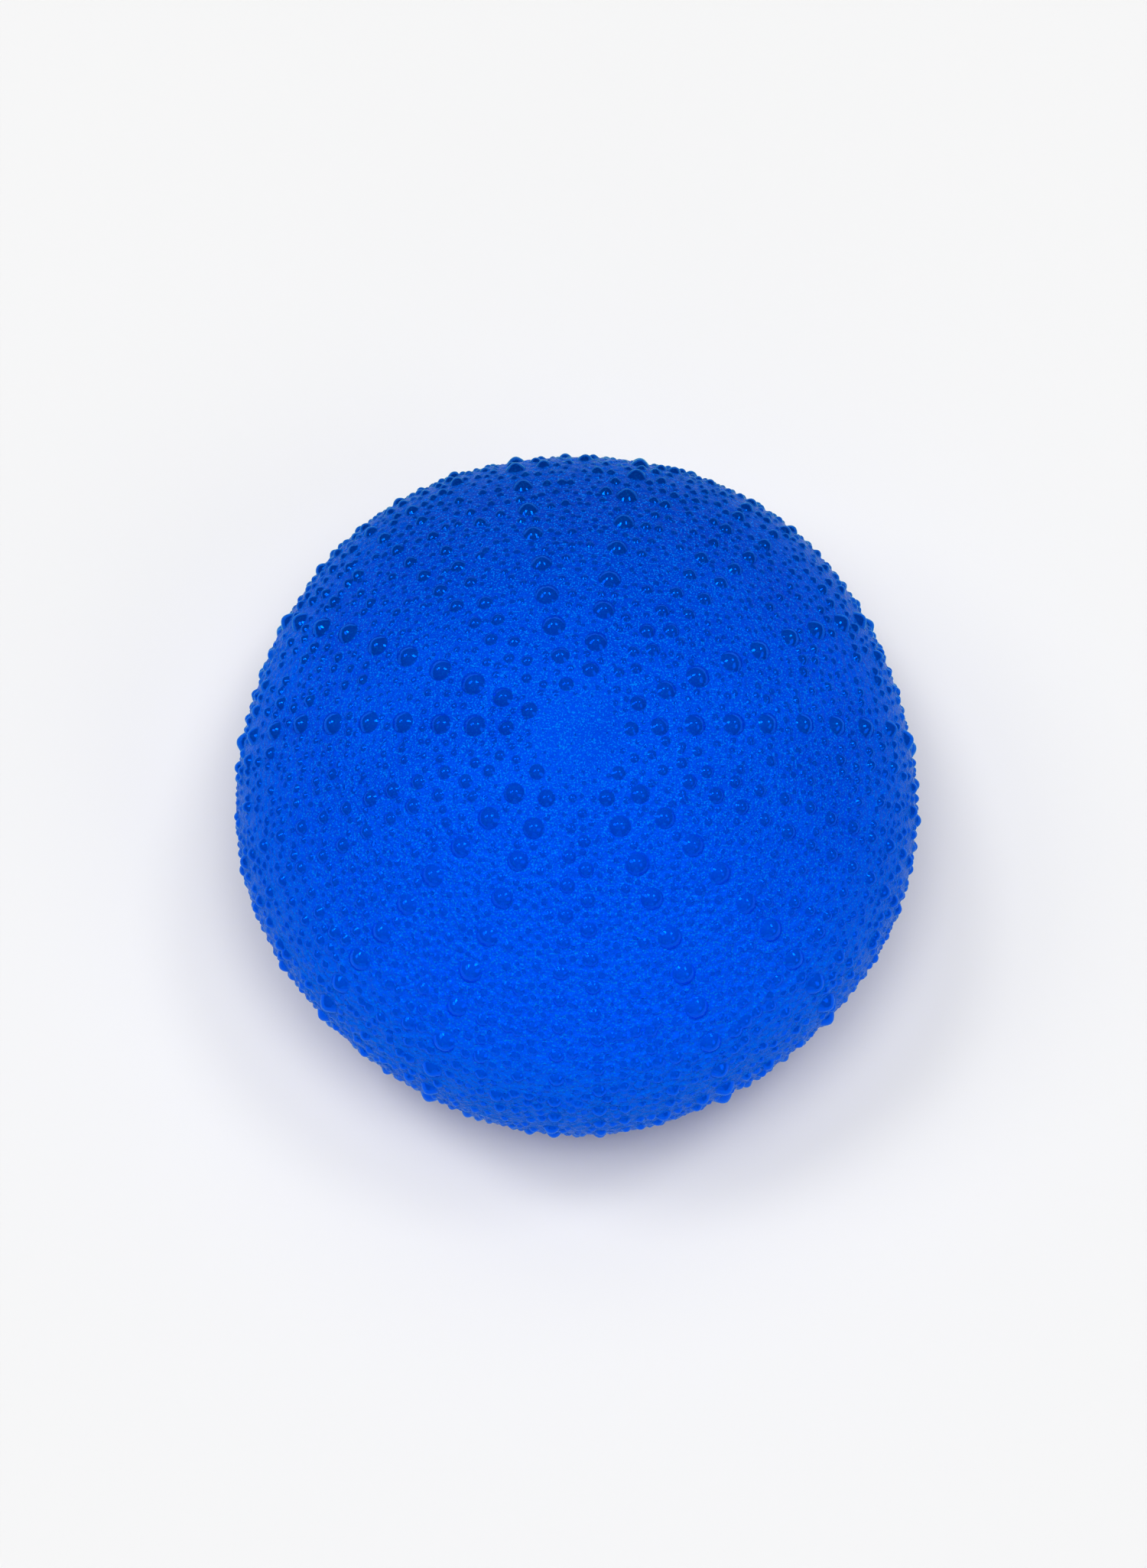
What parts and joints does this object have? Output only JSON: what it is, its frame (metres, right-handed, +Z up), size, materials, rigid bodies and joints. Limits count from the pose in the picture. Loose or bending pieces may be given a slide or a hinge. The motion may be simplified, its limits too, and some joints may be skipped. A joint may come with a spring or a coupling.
{
  "type": "stress ball",
  "caption": "Squeeze ball shaped like a bumpy sea urchin shell, with a soft skin over a bag of gel that a palm presses flat and that springs back.",
  "frame": {"origin": "centre of the flat foot on the underside, on the surface that the ball rests on", "axes": "+Z up through the middle of the crown, -Y towards the side that is nearest in use on a desk, +X to the right"},
  "size_m": [0.075, 0.075, 0.0405],
  "materials": {
    "skin": "satin",
    "liner": "gloss",
    "gel": "gloss",
    "plug": "satin",
    "adhesive": "satin",
    "cover": "satin"
  },
  "bodies": {
    "base": {"skin_base": "skin", "skin_wall": "skin", "inner_liner": "liner", "gel_filling": "gel", "fill_plug": "plug", "disc_adhesive": "adhesive", "cover_disc": "cover"},
    "crown": {"skin_crown": "skin"}
  },
  "joints": [
    {"name": "squeeze", "type": "slide", "parent": "base", "child": "crown", "axis": [0, 0, -1], "range_m": [0, 0.011], "stiffness_N_per_m": 1800, "deforming": ["skin_wall", "inner_liner", "gel_filling"]}
  ]
}
